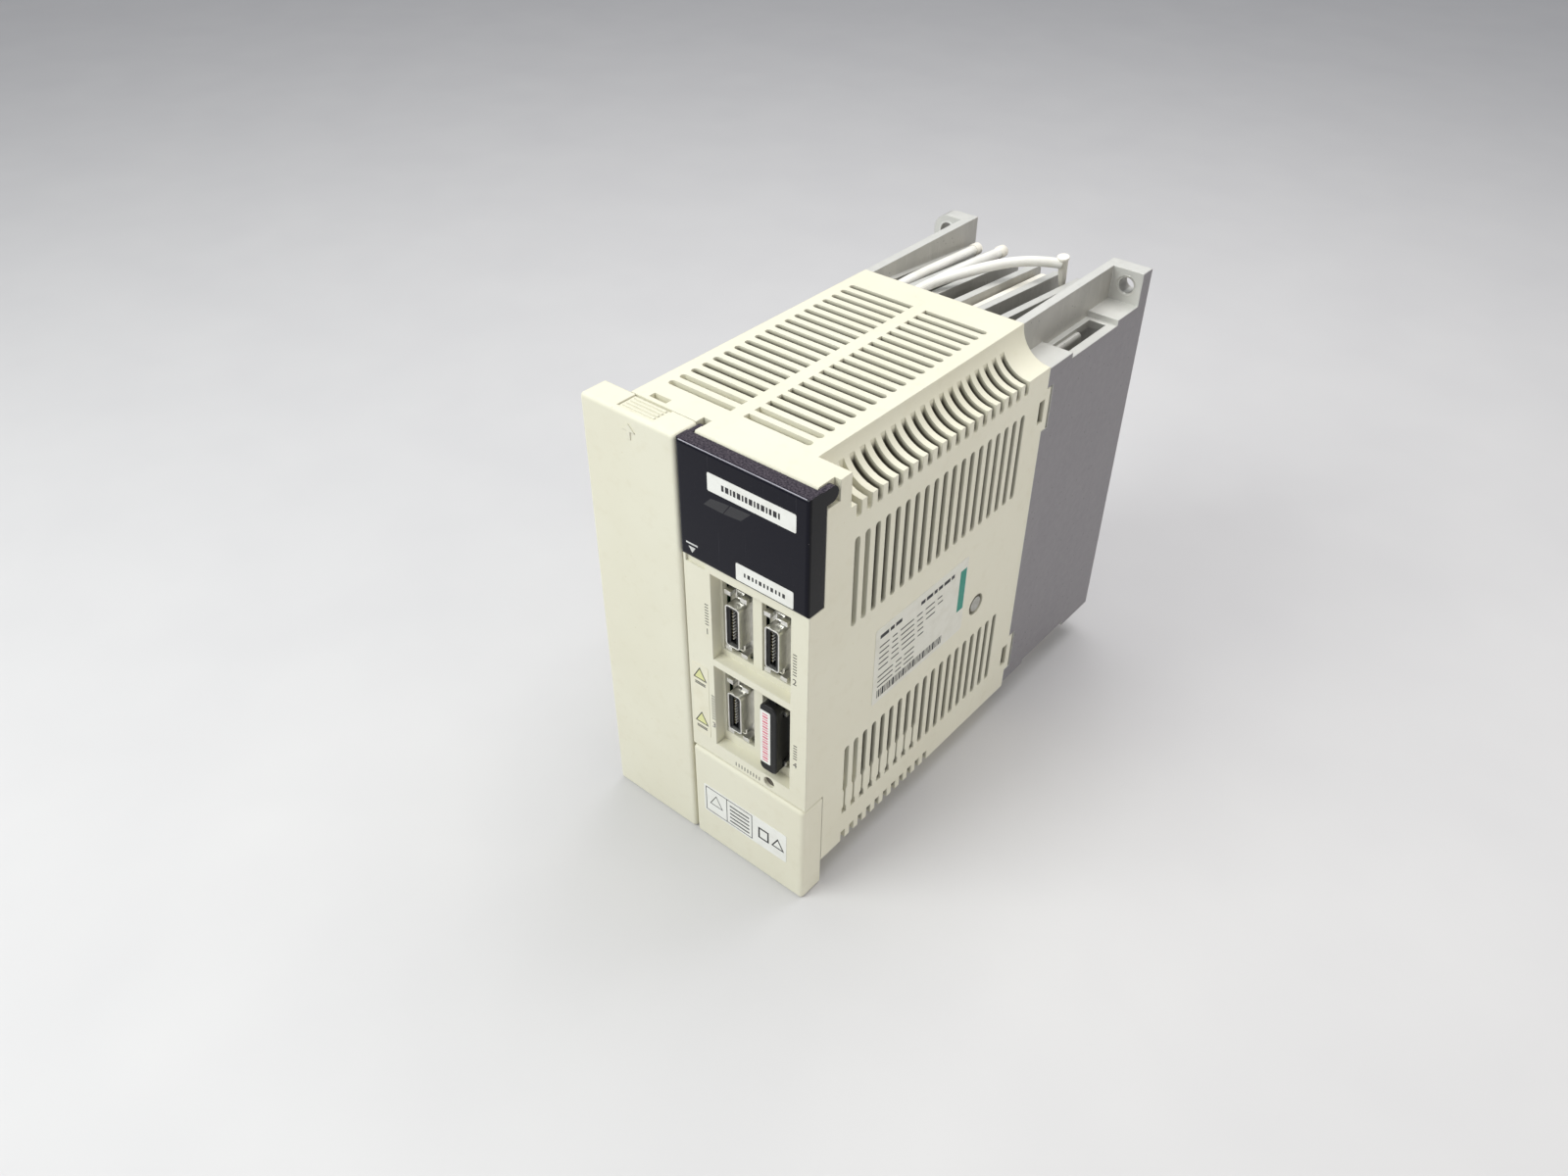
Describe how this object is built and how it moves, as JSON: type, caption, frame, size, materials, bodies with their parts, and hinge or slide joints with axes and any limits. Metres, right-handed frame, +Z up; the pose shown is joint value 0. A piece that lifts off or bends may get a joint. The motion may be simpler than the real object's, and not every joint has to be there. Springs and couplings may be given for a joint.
{
  "type": "servo drive",
  "caption": "Servo drive: slotted ivory case on a finned aluminium heat sink, with terminal covers, a hinged black display window, ribbon connectors and a fan.",
  "frame": {"origin": "bottom centre of the outer box, under the middle of the case", "axes": "+Z up, -Y towards the front covers, +Y towards the heat sink and the wall it is fixed to, +X to the right seen from the front"},
  "size_m": [0.09, 0.195, 0.168],
  "materials": {
    "ivory_case": "fine moulded texture",
    "window_black": "gloss, smoked",
    "cast_aluminium": "as cast, dull",
    "steel": "zinc plated",
    "plated_metal": "nickel plated",
    "black_plastic": "satin",
    "contact_gold": "gold flash",
    "board_green": "solder mask",
    "display_dark": "dark red filter",
    "switch_blue": "satin",
    "ivory_small": "satin",
    "lamp_clear": "clear tinted",
    "sleeve_black": "shrink sleeve",
    "cable_grey": "satin",
    "lead_white": "silicone, satin"
  },
  "bodies": {
    "drive": {"axis_switch_body": "switch_blue", "board_link_cable": "cable_grey", "board_link_headers": "black_plastic", "board_pillars": "steel", "brake_relay": "black_plastic", "brake_resistor": "ivory_small", "bus_capacitor_1": "sleeve_black", "bus_capacitor_2": "sleeve_black", "case_screws": "steel", "charge_lamp": "lamp_clear", "connector_contacts_1": "contact_gold", "connector_contacts_2": "contact_gold", "connector_contacts_3": "contact_gold", "connector_contacts_4": "contact_gold", "connector_insert_1": "black_plastic", "connector_insert_2": "black_plastic", "connector_insert_3": "black_plastic", "connector_insert_4": "black_plastic", "connector_shell_1": "plated_metal", "connector_shell_2": "plated_metal", "connector_shell_3": "plated_metal", "connector_shell_4": "plated_metal", "control_board": "board_green", "control_board_screws": "steel", "control_terminal_block": "black_plastic", "control_terminal_block_plates": "plated_metal", "control_terminal_block_screws": "steel", "current_sensor_1": "black_plastic", "current_sensor_2": "black_plastic", "display_module": "display_dark", "earth_plate": "steel", "earth_screws": "steel", "fan_frame": "black_plastic", "fan_screws": "steel", "heat_sink": "cast_aluminium", "lead_caps": "ivory_small", "lead_header": "ivory_small", "lead_sleeve": "ivory_small", "main_case": "ivory_case", "main_terminal_block": "black_plastic", "main_terminal_block_plates": "plated_metal", "main_terminal_block_screws": "steel", "power_board": "board_green", "power_board_screws": "steel", "power_module": "black_plastic", "rectifier_module": "black_plastic", "resistor_lead_1": "lead_white", "resistor_lead_2": "lead_white", "resistor_lead_3": "lead_white", "switching_transformer": "sleeve_black"},
    "terminal_cover": {"terminal_cover": "ivory_case"},
    "cover_latch": {"cover_latch": "ivory_case"},
    "lower_cover": {"lower_cover": "ivory_case"},
    "display_window": {"display_window": "window_black"},
    "end_plug": {"plug_hood": "black_plastic", "plug_card": "board_green", "plug_levers": "black_plastic"},
    "axis_dial": {"axis_switch_dial": "ivory_small"},
    "fan_rotor": {"fan_rotor": "black_plastic"}
  },
  "joints": [
    {"name": "display_window_hinge", "type": "hinge", "parent": "drive", "child": "display_window", "pos_m": [0.02, -0.0875, 0.165], "axis": [-1, 0, 0], "range_deg": [0, 90]},
    {"name": "terminal_cover_hinge", "type": "hinge", "parent": "drive", "child": "terminal_cover", "pos_m": [-0.02525, -0.0875, 0], "axis": [1, 0, 0], "range_deg": [0, 60]},
    {"name": "cover_latch_press", "type": "slide", "parent": "terminal_cover", "child": "cover_latch", "axis": [0, 0, -1], "range_m": [0, 0.0015], "stiffness_N_per_m": 400, "springref_m": -0.001},
    {"name": "lower_cover_pull", "type": "slide", "parent": "drive", "child": "lower_cover", "axis": [0, -1, 0], "range_m": [0, 0.03]},
    {"name": "end_plug_pull", "type": "slide", "parent": "drive", "child": "end_plug", "axis": [0, -1, 0], "range_m": [0, 0.02]},
    {"name": "axis_dial_turn", "type": "hinge", "parent": "drive", "child": "axis_dial", "pos_m": [0.032, -0.0881, 0.146], "axis": [0, -1, 0], "continuous": true},
    {"name": "fan_spin", "type": "hinge", "parent": "drive", "child": "fan_rotor", "pos_m": [0, 0.0655, 0.012], "axis": [0, 0, 1], "continuous": true}
  ]
}
